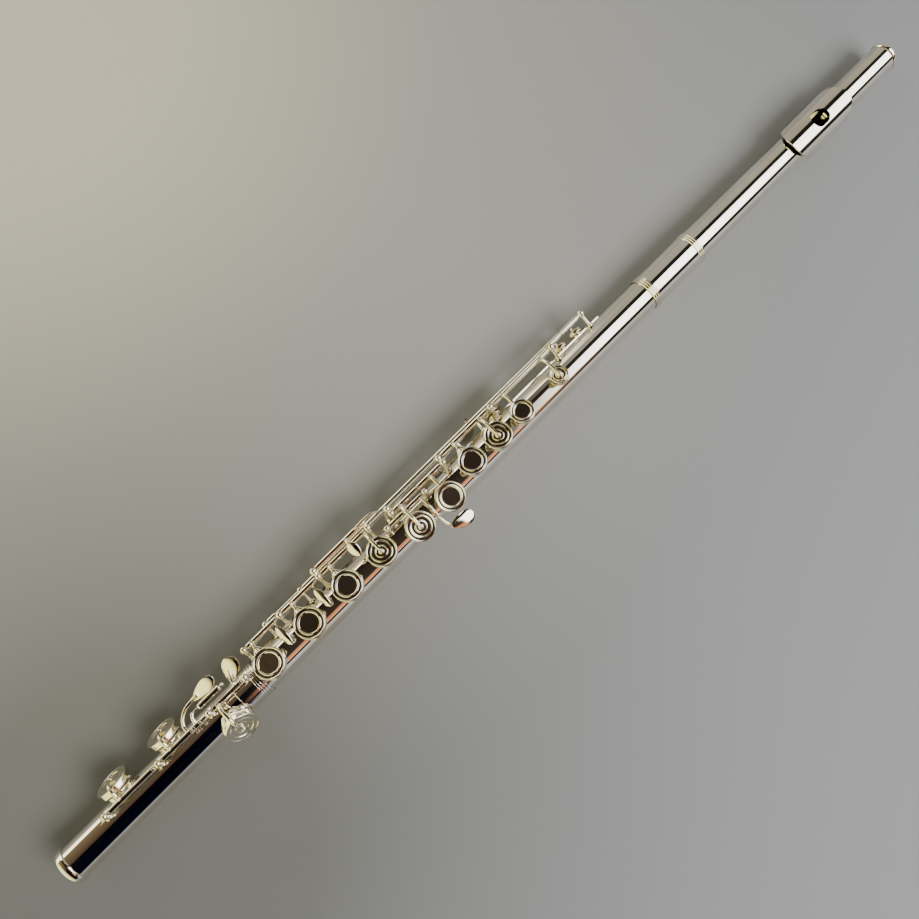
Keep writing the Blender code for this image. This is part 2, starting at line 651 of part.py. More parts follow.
def foot_keys():
    top = CUP_TOP_R + 0.6
    spatula = touch((539.8, -14.3, 12.2), 7.4, 3.9, 1.3, -4.0)
    stalk = wire([(544.0, *FOOT_LINE), (544.0, -8.0, 14.2), (542.0, -11.5, 12.9), (541.0, -14.0, 12.3)])
    arm = foot_cup_arm(557.4, ((13.9, 18.6), (26.0, 19.4), (FOOT_SHARP_ANGLE, top)))
    padded_key("foot_d_sharp", FOOT_LINE, (540.4, 561.5), [spatula, stalk] + arm, 0.0)

    low_arm = ((-32.5, 18.0), (-45.0, 19.4), (FOOT_LOW_ANGLE, top))
    spatula = touch((557.4, -16.4, 11.9), 8.6, 2.9, 1.3, -4.0)
    stalk = wire([(577.8, *FOOT_LINE), (577.8, -9.0, 12.4), (573.0, -14.4, 11.3),
                  (566.0, -16.0, 11.6), (560.0, -16.4, 11.9)])
    padded_key("foot_c_sharp", FOOT_LINE, (575.4, 597.4),
               [spatula, stalk] + foot_cup_arm(590.2, low_arm), FOOT_OPEN_ANGLE)

    shaft = bar(563.2, 639.2, STEEL_R, FOOT_LINE)
    collar = bar(569.6, 574.6, HINGE_R, FOOT_LINE)
    stalk = wire([(572.0, *FOOT_LINE), (571.4, -8.4, 13.8), (569.6, -11.1, 13.6)])
    axle = wire([(571.2, -11.1, 13.6), (548.9, -11.1, 13.6)], 0.55)
    stop = ball((548.6, -11.1, 13.6), 1.0)
    part = padded_key("foot_c", FOOT_LINE, (602.7, 634.4),
                      [shaft, collar, stalk, axle, stop] + foot_cup_arm(625.4, low_arm),
                      FOOT_OPEN_ANGLE, bored=False)
    roller = pipe([(550.2, 1.3), (550.8, 1.7), (564.8, 1.7), (565.4, 1.3)],
                  [(550.2, 0.9), (565.4, 0.9)], 16)
    roller.data.transform(Matrix.Translation((0.0, -11.1, 13.6)))
    roller_part = node("c_roller", [roller], "silver_plate", pivot=(602.7, *FOOT_LINE), parent=part)
    return roller_part


clear_scene()
flute = bpy.data.collections.new("concert_flute")
bpy.context.scene.collection.children.link(flute)
head_joint()
body_tubes()
body_ribs()
body_rods()
body_keys()
g_sharp_key()
trill_keys()
thumb_keys()
side_lever()
foot_tubes()
foot_keys()
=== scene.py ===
import math

import bpy
from mathutils import Matrix, Vector


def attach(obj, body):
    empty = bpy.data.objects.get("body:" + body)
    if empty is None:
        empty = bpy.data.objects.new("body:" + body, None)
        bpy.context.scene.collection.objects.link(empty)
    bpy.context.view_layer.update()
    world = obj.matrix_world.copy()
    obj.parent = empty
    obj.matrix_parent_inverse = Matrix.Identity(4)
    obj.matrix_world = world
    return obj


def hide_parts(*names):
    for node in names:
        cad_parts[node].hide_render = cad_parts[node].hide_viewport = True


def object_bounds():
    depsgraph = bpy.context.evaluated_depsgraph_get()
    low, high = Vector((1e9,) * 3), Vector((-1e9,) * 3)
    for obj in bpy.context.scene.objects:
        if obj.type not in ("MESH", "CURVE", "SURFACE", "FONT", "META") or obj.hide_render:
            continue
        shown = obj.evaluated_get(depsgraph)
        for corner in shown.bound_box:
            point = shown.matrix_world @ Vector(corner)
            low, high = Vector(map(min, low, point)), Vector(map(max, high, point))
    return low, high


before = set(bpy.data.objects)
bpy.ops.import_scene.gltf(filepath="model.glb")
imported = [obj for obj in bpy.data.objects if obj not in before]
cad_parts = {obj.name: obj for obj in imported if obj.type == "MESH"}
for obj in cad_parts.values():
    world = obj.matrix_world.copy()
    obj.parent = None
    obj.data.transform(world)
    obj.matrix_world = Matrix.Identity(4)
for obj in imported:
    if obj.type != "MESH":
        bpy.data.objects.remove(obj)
sizeBefore = [list(corner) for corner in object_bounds()]

# shapes are written in millimetres in the flute's own frame: X runs from crown to foot, Z is up,
# and the player's side is towards -Y
mm = 0.001
origin = (0.0, 0.0)
# a turned end closes on a pinhole this wide, which the cap then fills
pinhole = 0.02


def pick(*pieces):
    bpy.ops.object.select_all(action="DESELECT")
    for piece in pieces:
        piece.select_set(True)
    bpy.context.view_layer.objects.active = pieces[-1]


# puts a piece in place and writes that place into its mesh
def settle(piece, placing):
    bpy.context.view_layer.update()
    piece.matrix_world = placing @ piece.matrix_world
    pick(piece)
    bpy.ops.object.transform_apply(location=True, rotation=True, scale=True)
    return piece


# local Z stands out of the tube at a place along it, at an angle round it from the top
def outOfTube(x, angle):
    return Matrix.Translation((x * mm, 0, 0)) @ Matrix.Rotation(math.radians(-angle), 4, "X")


# local Z runs along the flute, on a line (y, z)
def alongTube(line=origin):
    return Matrix.Translation((0, line[0] * mm, line[1] * mm)) @ Matrix.Rotation(math.pi / 2, 4, "Y")


def ringPoint(x, angle, radius):
    turn = math.radians(angle)
    return (x, radius * math.sin(turn), radius * math.cos(turn))


# normals outward, soft below the given angle and crisp beyond it
def smooth(piece, angle=32):
    pick(piece)
    bpy.ops.object.mode_set(mode="EDIT")
    bpy.ops.mesh.select_all(action="SELECT")
    bpy.ops.mesh.normals_make_consistent(inside=False)
    bpy.ops.object.mode_set(mode="OBJECT")
    bpy.ops.object.shade_smooth_by_angle(angle=math.radians(angle))
    return piece


# applies one modifier with its settings
def shape(piece, kind, **settings):
    pick(piece)
    modifier = piece.modifiers.new(kind.lower(), kind)
    for setting, value in settings.items():
        setattr(modifier, setting, value)
    bpy.ops.object.modifier_apply(modifier=modifier.name)
    return piece


# a turned piece: stations are (height, radius), and ends is cap or ring.
# A long stretch gets a station close to each of its ends, so that its shading stays even
longStretch, supportGap = 2.5, 0.2


def turned(outline, sides, ends, placing):
    stations = [outline[0]]
    for (low, narrow), (high, wide) in zip(outline, outline[1:]):
        span = math.hypot(high - low, wide - narrow)
        if span > longStretch:
            for share in (supportGap / span, 1 - supportGap / span):
                stations.append((low + (high - low) * share, narrow + (wide - narrow) * share))
        stations.append((high, wide))
    height, radius = stations[0]
    bpy.ops.mesh.primitive_circle_add(vertices=sides, radius=radius * mm, location=(0, 0, height * mm))
    piece = bpy.context.object
    bpy.ops.object.mode_set(mode="EDIT")
    for (low, narrow), (high, wide) in zip(stations, stations[1:]):
        bpy.ops.mesh.extrude_region_move(TRANSFORM_OT_translate={"value": (0, 0, (high - low) * mm)})
        bpy.ops.transform.resize(value=(wide / narrow, wide / narrow, 1))
    bpy.ops.mesh.select_all(action="DESELECT")
    bpy.ops.mesh.select_non_manifold()
    if ends == "cap":
        bpy.ops.mesh.fill_holes(sides=0)
    else:
        bpy.ops.mesh.bridge_edge_loops()
    bpy.ops.object.mode_set(mode="OBJECT")
    settle(piece, placing)
    return smooth(piece)


# a bent bar through points, its radius scaled at each one by swell
def bentBar(points, radius, swell=None):
    bpy.ops.curve.primitive_bezier_curve_add(location=(0, 0, 0))
    curve = bpy.context.object
    curve.data.bevel_depth = radius * mm
    curve.data.bevel_resolution = 5
    curve.data.resolution_u = 8
    curve.data.use_fill_caps = True
    knots = curve.data.splines[0].bezier_points
    knots.add(len(points) - 2)
    for knot, place, wide in zip(knots, points, swell or [1] * len(points)):
        knot.co = Vector(place) * mm
        knot.handle_left_type = knot.handle_right_type = "AUTO"
        knot.radius = wide
    pick(curve)
    bpy.ops.object.convert(target="MESH")
    return smooth(bpy.context.object, 60)


def ball(place, radius):
    bpy.ops.mesh.primitive_uv_sphere_add(segments=32, ring_count=16, radius=radius * mm,
                                         location=Vector(place) * mm)
    return smooth(settle(bpy.context.object, Matrix()))


# a plate wrapped round the tube between two angles: a small rectangle spun about the tube's axis.
# points are (x, -1 or 1) for the ends that are cut to a point
strapEdge, pointSlope = 0.12, 2.2


def wrapped(ends, angles, radii, points=()):
    middle = ((ends[0] + ends[1]) / 2, 0, (radii[0] + radii[1]) / 2)
    bpy.ops.mesh.primitive_plane_add(size=1, location=Vector(middle) * mm, rotation=(math.pi / 2, 0, 0))
    piece = bpy.context.object
    piece.scale = ((ends[1] - ends[0]) * mm, (radii[1] - radii[0]) * mm, 1)
    settle(piece, Matrix.Rotation(math.radians(-angles[0]), 4, "X"))
    bpy.ops.object.mode_set(mode="EDIT")
    bpy.ops.mesh.select_all(action="SELECT")
    bpy.ops.mesh.spin(steps=max(3, int(abs(angles[1] - angles[0]) / 3)),
                      angle=math.radians(angles[0] - angles[1]), center=(0, 0, 0), axis=(1, 0, 0))
    bpy.ops.object.mode_set(mode="OBJECT")
    smooth(piece)
    middleTurn = math.radians((angles[0] + angles[1]) / 2)
    outward = Vector((0, math.sin(middleTurn), math.cos(middleTurn)))
    for x, away in points:
        for side in (-1, 1):
            across = Vector((1, 0, 0)).cross(outward) * side
            slant = (Vector((away, 0, 0)) + across * pointSlope).normalized()
            bpy.ops.object.mode_set(mode="EDIT")
            bpy.ops.mesh.select_all(action="SELECT")
            bpy.ops.mesh.bisect(plane_co=(Vector((x, 0, 0)) + outward * radii[1]) * mm, plane_no=slant,
                                use_fill=True, clear_outer=True)
            bpy.ops.object.mode_set(mode="OBJECT")
    shape(piece, "BEVEL", width=strapEdge * mm, segments=2, limit_method="ANGLE",
          angle_limit=math.radians(40))
    return smooth(piece)


# an upright block with rounded vertical edges, for cutting outlines
def upright(centre, halfLength, halfWidth, corner, heights):
    bpy.ops.mesh.primitive_cube_add(size=1, location=(centre * mm, 0, sum(heights) / 2 * mm))
    piece = bpy.context.object
    piece.scale = (2 * halfLength * mm, 2 * halfWidth * mm, (heights[1] - heights[0]) * mm)
    settle(piece, Matrix())
    bpy.ops.object.mode_set(mode="EDIT")
    bpy.ops.mesh.select_mode(type="EDGE")
    bpy.ops.mesh.select_all(action="DESELECT")
    bpy.ops.object.mode_set(mode="OBJECT")
    for edge in piece.data.edges:
        ends = [piece.data.vertices[i].co for i in edge.vertices]
        edge.select = abs(ends[0].z - ends[1].z) > mm
    bpy.ops.object.mode_set(mode="EDIT")
    bpy.ops.mesh.bevel(offset=corner * mm, segments=14, affect="EDGES")
    bpy.ops.mesh.select_mode(type="VERT")
    bpy.ops.object.mode_set(mode="OBJECT")
    return piece


# cuts or keeps by other shapes, which are then removed
def carve(piece, tools, operation="DIFFERENCE"):
    for tool in tools:
        shape(piece, "BOOLEAN", object=tool, operation=operation, solver="EXACT")
        bpy.data.objects.remove(tool, do_unlink=True)
    return smooth(piece)


# a finger plate: a turned lens with a flat underside, stretched, tapered and tilted into place
def fingerPlate(centre, halfX, halfY, thick=1.2, tilt=0, turn=0, taper=0, dome=0.35, lean=0):
    low, high = -thick / 2, thick / 2
    lens = [(low, pinhole), (low, 0.86), (low + 0.12, 0.95), (low + 0.4, 1.0), (high - 0.45, 1.0),
            (high - 0.2, 0.975), (high - 0.06, 0.92), (high + 0.1 * dome, 0.84),
            (high + 0.5 * dome, 0.6), (high + 0.85 * dome, 0.3), (high + dome, pinhole)]
    piece = turned(lens, 56, "cap", Matrix.Diagonal((halfX, halfY, 1, 1)))
    if taper:
        shape(piece, "SIMPLE_DEFORM", deform_method="TAPER", deform_axis="X", factor=taper)
    tilted = Matrix.Translation(Vector(centre) * mm) @ Matrix.Rotation(math.radians(tilt), 4, "X")
    leant = Matrix.Rotation(math.radians(lean), 4, "Y") @ Matrix.Rotation(math.radians(turn), 4, "Z")
    return smooth(settle(piece, tilted @ leant), 50)


def joined(name, pieces):
    pick(*pieces)
    if len(pieces) > 1:
        bpy.ops.object.join()
    piece = bpy.context.object
    piece.name = piece.data.name = name
    return piece


# names a piece, gives it its finish, hands it to its body, and hides the CAD parts it stands for
def keep(name, pieces, body, finish, stands=()):
    piece = joined(name, pieces)
    piece.data.materials.clear()
    piece.data.materials.append(finish)
    for face in piece.data.polygons:
        face.material_index = 0
    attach(piece, body)
    if stands:
        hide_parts(*stands)


# a node's name as one word, such as leftHandRod
def oneWord(node):
    first, *others = node.split("_")
    return first + "".join(word.capitalize() for word in others)


# an sRGB hex value as linear colour, made brighter or dimmer by power
def colour(hexValue, power=1):
    parts = [int(hexValue[i:i + 2], 16) / 255 for i in (1, 3, 5)]
    linear = [p / 12.92 if p <= 0.04045 else ((p + 0.055) / 1.055) ** 2.4 for p in parts]
    return (*[p * power for p in linear], 1)


# adds a node: settings name its own properties or its sockets, links name the socket each source feeds
def addNode(tree, kind, settings=None, links=None):
    node = tree.nodes.new(kind)
    for setting, value in (settings or {}).items():
        if hasattr(node, setting):
            setattr(node, setting, value)
        else:
            node.inputs[setting].default_value = value
    for socket, source in (links or {}).items():
        tree.links.new(source, node.inputs[socket])
    return node


def blankFinish(name):
    finish = bpy.data.materials.new(name)
    finish.use_nodes = True
    finish.node_tree.nodes.clear()
    return finish, finish.node_tree


# the shader that ends a finish
def surface(tree, settings, tint, relief, links=None):
    fed = {"Base Color": tint.outputs["Color"], "Normal": relief.outputs["Normal"], **(links or {})}
    shader = addNode(tree, "ShaderNodeBsdfPrincipled", settings, fed)
    addNode(tree, "ShaderNodeOutputMaterial", {}, {"Surface": shader.outputs["BSDF"]})


# two or more colours along a ramp
def ramp(tree, factor, stops):
    node = addNode(tree, "ShaderNodeValToRGB", {}, {"Fac": factor})
    elements = node.color_ramp.elements
    while len(elements) > 1:
        elements.remove(elements[-1])
    elements[0].position = stops[0][0]
    elements[0].color = stops[0][1]
    for place, value in stops[1:]:
        elements.new(place).color = value
    return node


def noise(tree, place, **settings):
    return addNode(tree, "ShaderNodeTexNoise", settings, {"Vector": place})


def bump(tree, height, strength, distance):
    return addNode(tree, "ShaderNodeBump", {"Strength": strength, "Distance": distance}, {"Height": height})


# silver plate over nickel silver, buffed to a mirror: a warm white metal with a faint yellow tarnish
# that comes and goes over centimetres, hairline polishing marks about 0.3 mm apart along the tube,
# and a soft haze of fingerprints a few millimetres across
def silverPlate(name, clean, tarnished, haze, grain):
    finish, tree = blankFinish(name)
    place = addNode(tree, "ShaderNodeTexCoord").outputs["Object"]
    cloud = noise(tree, place, Scale=38.0, Detail=4.0, Roughness=0.6)
    tint = ramp(tree, cloud.outputs["Fac"], [(0.35, colour(clean)), (0.75, colour(tarnished))])
    fingers = noise(tree, place, Scale=210.0, Detail=6.0, Roughness=0.65)
    spread = {"From Min": 0.3, "From Max": 0.75, "To Min": haze[0], "To Max": haze[1]}
    rough = addNode(tree, "ShaderNodeMapRange", spread, {"Value": fingers.outputs["Fac"]})
    along = addNode(tree, "ShaderNodeMapping", {"Scale": (60.0, 3300.0, 3300.0)}, {"Vector": place})
    marks = noise(tree, along.outputs["Vector"], Scale=1.0, Detail=2.0)
    relief = bump(tree, marks.outputs["Fac"], grain, 0.00002)
    surface(tree, {"Metallic": 1.0}, tint, relief, {"Roughness": rough.outputs["Result"]})
    return finish


# drawn stainless steel rod: greyer and bluer than the plate, with fine turning lines round it every 0.15 mm
def turnedSteel():
    finish, tree = blankFinish("turnedSteel")
    place = addNode(tree, "ShaderNodeTexCoord").outputs["Object"]
    along = addNode(tree, "ShaderNodeMapping", {"Scale": (6600.0, 200.0, 200.0)}, {"Vector": place})
    lines = noise(tree, along.outputs["Vector"], Scale=1.0, Detail=3.0)
    tint = ramp(tree, lines.outputs["Fac"], [(0.3, colour("#b9bbbd")), (0.7, colour("#d2d3d3"))])
    relief = bump(tree, lines.outputs["Fac"], 0.15, 0.00002)
    surface(tree, {"Metallic": 1.0, "Roughness": 0.2}, tint, relief)
    return finish


# goldbeater's skin over felt: a thin yellow membrane, slightly glossy, with fine wrinkles about 1.5 mm apart
def padSkin():
    finish, tree = blankFinish("goldbeatersSkinPad")
    place = addNode(tree, "ShaderNodeTexCoord").outputs["Object"]
    cloud = noise(tree, place, Scale=420.0, Detail=5.0)
    tint = ramp(tree, cloud.outputs["Fac"], [(0.3, colour("#c9b071")), (0.7, colour("#e6d6a4"))])
    wrinkles = {"feature": "DISTANCE_TO_EDGE", "Scale": 650.0}
    folds = addNode(tree, "ShaderNodeTexVoronoi", wrinkles, {"Vector": place})
    relief = bump(tree, folds.outputs["Distance"], 0.35, 0.0001)
    surface(tree, {"Roughness": 0.42, "IOR": 1.5}, tint, relief)
    return finish


# natural cork: matt tan with dark pores under a millimetre across
def naturalCork():
    finish, tree = blankFinish("naturalCork")
    place = addNode(tree, "ShaderNodeTexCoord").outputs["Object"]
    cells = addNode(tree, "ShaderNodeTexVoronoi", {"Scale": 1400.0}, {"Vector": place})
    pores = noise(tree, place, Scale=700.0, Detail=6.0)
    tint = ramp(tree, pores.outputs["Fac"],
                [(0.36, colour("#5d4026")), (0.46, colour("#b48a5a")), (0.8, colour("#c9a172"))])
    relief = bump(tree, cells.outputs["Distance"], 0.5, 0.0002)
    surface(tree, {"Roughness": 0.85, "IOR": 1.4}, tint, relief)
    return finish


tubePlate = silverPlate("silverPlateTube", "#f4f1ea", "#e9e1cf", (0.045, 0.10), 0.10)
keyPlate = silverPlate("silverPlateKeys", "#f3efe4", "#e4dab9", (0.05, 0.13), 0.06)
rodSteel = turnedSteel()
skin = padSkin()
cork = naturalCork()
print("finishes made")

# head joint: a tapered tube, the lip plate on its riser, and the crown.
# The blow hole's half length runs along the flute and its half width across
head = {"taper": [(3.3, 8.85), (69, 9.1), (180, 9.85), (217.5, 9.9)], "wall": 0.42, "blowHole": 69.0,
        "halfLength": 6.1, "halfWidth": 5.1, "corner": 4.4, "riserFlare": 1.22, "riserCorner": 5.2,
        "plate": (45.0, 95.0), "plateHalfWidth": 11.8, "plateCorner": 9.5, "plateShell": (11.5, 12.3),
        "plateEdge": 0.28}


# cuts the blow hole through a piece of the head
def blow(piece, lowest):
    hole = upright(head["blowHole"], head["halfLength"], head["halfWidth"], head["corner"], (lowest, 20))
    return carve(piece, [hole])


bore = [(x, radius - head["wall"]) for x, radius in reversed(head["taper"])]
headTube = blow(turned(head["taper"] + bore, 144, "ring", alongTube()), 4)
keep("headTube", [headTube], "head", tubePlate, ["head_tube"])

(start, end), (low, high) = head["plate"], head["plateShell"]
shell = turned([(start, low), (start, high), (end, high), (end, low)], 160, "ring", alongTube())
outline = upright((start + end) / 2, (end - start) / 2, head["plateHalfWidth"], head["plateCorner"], (-1, 20))
carve(shell, [outline], "INTERSECT")
blow(shell, 4)
shape(shell, "BEVEL", width=head["plateEdge"] * mm, segments=4, limit_method="ANGLE",
      angle_limit=math.radians(45))
smooth(shell, 50)
keep("lipPlate", [shell], "head", tubePlate, ["lip_plate"])


# a solid cylinder on the tube's axis, for cutting or trimming
def plug(start, end, radius, sides=128):
    return turned([(start, radius), (end, radius)], sides, "cap", alongTube())


riser = upright(head["blowHole"], head["halfLength"] * head["riserFlare"],
                head["halfWidth"] * head["riserFlare"], head["riserCorner"], (5, 14))
carve(riser, [plug(40, 100, 11.45)], "INTERSECT")
carve(riser, [plug(40, 100, 9.1)])
blow(riser, 3)
keep("blowHoleRiser", [riser], "head", tubePlate, ["embouchure_riser"])

# a rounded cap with a sleeve behind it and a hole for the stopper screw
crownTurn = [(0, pinhole), (0, 8.2), (0.12, 8.7), (0.4, 9.1), (0.9, 9.35), (1.5, 9.4), (2.2, 9.35),
             (2.7, 9.15), (3.0, 8.9), (3.0, 8.0), (9.0, 8.0), (9.0, 1.8), (4.0, 1.8), (4.0, pinhole)]
crown = turned(crownTurn, 112, "cap", alongTube())
keep("crown", [crown], "crown", tubePlate, ["crown"])
print("head joint made")

# body tube with its drawn tone hole rims. A cup is (place along the tube, angle round it, radius)
tubeR, boreR = 9.93, 9.5
cups = {
    "c_sharp": (299.0, 0, 5.7), "c": (329.0, 0, 7.3), "b_flat": (348.5, 0, 8.4), "a": (369.0, 0, 8.4),
    "upper_g": (391.5, 20, 8.7), "lower_g": (414.8, 20, 8.7), "f_sharp": (439.4, 0, 8.8),
    "f": (465.3, 0, 9.0), "e": (493.4, 0, 9.0), "d": (523.0, 0, 9.0), "thumb_b": (338.0, -110, 7.0),
    "g_sharp": (416.0, -110, 8.2), "d_sharp_trill": (269.0, -95, 4.9), "d_trill": (282.0, -95, 4.9),
    "foot_d_sharp": (557.4, 55, 9.9), "foot_c_sharp": (590.2, -74, 9.9), "foot_c": (625.4, -74, 9.9)}
# how far the rims, the cups' tops and their skirts stand from the tube's axis
full = {"rim": 11.9, "top": 16.1, "skirt": 3.4}
small = {"rim": 11.3, "top": 14.2, "skirt": 2.2}


def cupSize(name):
    return small if "trill" in name else full


# a drawn rim rises out of the tube with a soft root and a rolled lip
def rims(names):
    made, holes = [], []
    for name in names:
        x, angle, wide = cups[name]
        r = wide - 1.5
        lip = cupSize(name)["rim"]
        turn = [(7.0, r - 0.5), (7.0, r), (9.0, r), (lip - 0.5, r), (lip - 0.35, r + 0.1),
                (lip - 0.12, r + 0.12), (lip, r - 0.05), (lip, r - 0.3), (lip - 0.12, r - 0.46),
                (lip - 0.3, r - 0.5)]
        made.append(turned(turn, 64, "ring", outOfTube(x, angle)))
        holes.append(turned([(2.0, r - 0.25), (14.0, r - 0.25)], 64, "cap", outOfTube(x, angle)))
    return made, holes


# opens the tone holes of a tube and trims their rims flush with its bore
def toneHoles(tube, names, start, end):
    made, holes = rims(names)
    carve(tube, holes)
    inner = plug(start, end, boreR - 0.02, 96)
    for rim in made:
        shape(rim, "BOOLEAN", object=inner, operation="DIFFERENCE", solver="EXACT")
        smooth(rim)
    bpy.data.objects.remove(inner, do_unlink=True)
    return made + [tube]


bodyTube = turned([(219, boreR), (219, tubeR), (546, tubeR), (546, boreR)], 144, "ring", alongTube())
bodyCups = [name for name in cups if not name.startswith("foot")]
keep("bodyTube", toneHoles(bodyTube, bodyCups, 215, 550), "body", tubePlate, ["body_tube"])


# three soft beads side by side, as on the ends of the barrel
def beads(start, low, high):
    made = []
    pitch = 1.5
    for i in range(3):
        x = start + i * pitch
        made += [(x, low), (x + 0.1, high - 0.25), (x + 0.35, high - 0.04), (x + pitch / 2, high),
                 (x + pitch - 0.35, high - 0.04), (x + pitch - 0.1, high - 0.25)]
    return made + [(start + 3 * pitch, low)]


barrel = {"bore": 10.2, "waist": 10.42, "groove": 10.32, "bead": 10.95}
barrelTurn = [(180, barrel["bore"])] + beads(180.0, barrel["groove"], barrel["bead"])
barrelTurn += [(184.8, barrel["waist"]), (218.8, barrel["waist"])]
barrelTurn += beads(219.0, barrel["groove"], barrel["bead"]) + [(223.5, barrel["bore"])]
keep("barrel", [turned(barrelTurn, 144, "ring", alongTube())], "body", tubePlate, ["barrel"])
print("tubes made")

# hinge lines (y, z), and the shells (inner and outer radius) of the long soldered straps
mainLine, trillLine, sideLine = (-16.0, 11.0), (-18.0, 7.5), (-20.1, 11.6)
gLine, gSharpLine, thumbLine, footLine = (-12.4, 12.2), (-8.0, 11.5), (-17.9, 2.6), (-5.0, 13.6)
ribShell, thinShell = (9.9, 10.95), (9.9, 10.85)
postTurn = {"root": 10.6, "foot": 2.0, "waist": 0.95, "ball": 2.1}


# a turned ball on a waisted stem, from the strap out to a hinge line
def post(line, x):
    away = math.hypot(*line)
    angle = math.degrees(math.atan2(line[0], line[1]))
    root, foot, waist, ballR = (postTurn[part] for part in ("root", "foot", "waist", "ball"))
    stem = [(root - 0.4, foot), (root + 0.3, foot), (root + 0.45, foot - 0.25)]
    reach = away - root
    if reach > 4:
        stem += [(root + 0.7, 1.3), (root + reach * 0.3, waist + 0.1), (root + reach * 0.6, waist),
                 (away - ballR - 0.35, waist + 0.1), (away - ballR - 0.2, 1.35), (away - ballR + 0.15, 1.35)]
    stem.append((away - ballR * 0.83, 1.15))
    for i in range(11):
        turn = math.radians(-50 + i * 14)
        stem.append((away + ballR * math.sin(turn), max(pinhole, ballR * math.cos(turn))))
    return turned(stem, 32, "cap", outOfTube(x, angle))


# the steel of a hinge shows in the outer face of the ball as a slotted screw head
def screwHead(line, x, side):
    face = x + side * (postTurn["ball"] - 0.12)
    turn = [(face - 0.5, 1.0), (face - 0.05, 1.0), (face + 0.05, 0.9), (face + 0.05, pinhole)]
    screw = turned(turn, 32, "cap", alongTube(line))
    bpy.ops.mesh.primitive_cube_add(size=1, location=(face * mm, line[0] * mm, line[1] * mm))
    slot = bpy.context.object
    slot.scale = (0.5 * mm, 3 * mm, 0.28 * mm)
    settle(slot, Matrix())
    return carve(screw, [slot])


# straps are (ends, angles, shell, points), and places are (hinge line, the posts on it)
def ribSet(name, body, straps, places, stands):
    made = [wrapped(*strap) for strap in straps]
    made += [post(line, x) for line, xs in places for x in xs]
    keep(name, made, body, keyPlate, stands)


thumbPosts = (326.4, 349.3, 365.8)
leftStraps = [((248.6, 406.0), (-74, -51), ribShell, [(248.6, -1)]), ((378.0, 383.4), (-53, -40), thinShell),
              ((397.2, 402.4), (-53, -29), thinShell), ((419.4, 431.0), (-68, -29), ribShell),
              ((424.4, 426.9), (-31, 36), thinShell), ((404.5, 420.2), (-62, -51.6), thinShell)]
leftStraps += [((x - 2.3, x + 2.3), (-91, -72), thinShell) for x in thumbPosts]
leftPosts = [(mainLine, (289.0, 339.0, 380.6, 421.0)), (gLine, (380.6, 421.0)), (gSharpLine, (399.4, 428.6)),
             (trillLine, (261.0,)), (thumbLine, thumbPosts)]
ribSet("leftHandRib", "body", leftStraps, leftPosts, ["left_hand_rib"])
rightStraps = [((432.6, 531.2), (-74, -51), ribShell, [(432.6, -1), (531.2, 1)])]
rightPosts = [(mainLine, (436.0, 473.4, 502.7, 529.0)), (trillLine, (485.7, 511.9))]
ribSet("rightHandRib", "body", rightStraps, rightPosts, ["right_hand_rib"])
sidePosts = []
for x in (436.0, 473.4):
    branch = bentBar([(x, *mainLine), (x, -18.0, 11.3), (x, *sideLine)], 1.25)
    sidePosts += [branch, ball((x, *sideLine), postTurn["ball"])]
keep("sideLeverPosts", sidePosts, "body", keyPlate)


# a steel rod with chamfered ends
def rod(line, start, end):
    turn = [(start, pinhole), (start, 0.8), (start + 0.1, 0.9), (end - 0.1, 0.9), (end, 0.8), (end, pinhole)]
    return turned(turn, 32, "cap", alongTube(line))


rods = {"left_hand_rod": (mainLine, 287.5, 421.5), "right_hand_rod": (mainLine, 422.3, 530.5),
        "side_lever_rod": (sideLine, 434.5, 475.0), "g_key_rod": (gLine, 379.0, 422.5),
        "g_sharp_rod": (gSharpLine, 398.0, 430.2), "thumb_rod": (thumbLine, 324.8, 367.4),
        "foot_rod": (footLine, 536.4, 562.6)}
for node, place in rods.items():
    body = "foot" if node == "foot_rod" else "body"
    keep(oneWord(node), [rod(*place)], body, rodSteel, [node])
# the outer ends of each hinge: (line, post, the side it faces along the flute)
pivots = [(mainLine, 289.0, -1), (mainLine, 529.0, 1), (sideLine, 436.0, -1), (sideLine, 473.4, 1),
          (gLine, 380.6, -1), (gLine, 421.0, 1), (gSharpLine, 399.4, -1), (gSharpLine, 428.6, 1),
          (thumbLine, 326.4, -1), (thumbLine, 365.8, 1)]
keep("bodyPivotScrews", [screwHead(*place) for place in pivots], "body", rodSteel)
print("ribs, posts and rods made")

# degrees that a key stands open at rest. Each is made closed, then swung on its hinge line
openTurn = {"body": 8.4, "thumb": -12.5, "foot": -8.5}


def swing(pieces, line, degrees):
    if degrees:
        hinge = Matrix.Translation((0, line[0] * mm, line[1] * mm))
        for piece in pieces:
            settle(piece, hinge @ Matrix.Rotation(math.radians(degrees), 4, "X") @ hinge.inverted())
            smooth(piece, 50)
    return pieces


# a hinge tube with a fine turned groove near each end
def hingeTube(line, start, end):
    grooved = [(0, 0.95), (0, 1.45), (0.15, 1.6), (0.8, 1.6), (0.9, 1.5), (1.05, 1.5), (1.15, 1.6)]
    turn = [(start + step, r) for step, r in grooved] + [(end - step, r) for step, r in reversed(grooved)]
    return turned(turn, 36, "cap", alongTube(line))


# a stamped key cup, hollow underneath. A plain cup has one raised ring round a flat floor for the finger,
# and a stepped one has rings out to the arm's boss at its middle. Steps on the top are (drop, share of radius)
plainTop = [(0.2, 0.73), (0.16, 0.715), (0, 0.695), (-0.03, 0.675), (0.04, 0.65), (0.32, 0.625), (0.4, 0.6)]
steppedTop = [(0.2, 0.73), (0.16, 0.71), (0.04, 0.69), (0.02, 0.67), (0.1, 0.645), (0.36, 0.625), (0.42, 0.6),
              (0.44, 0.42), (0.4, 0.4), (0.3, 0.385), (0.3, 0.365), (0.42, 0.345), (0.5, 0.32)]


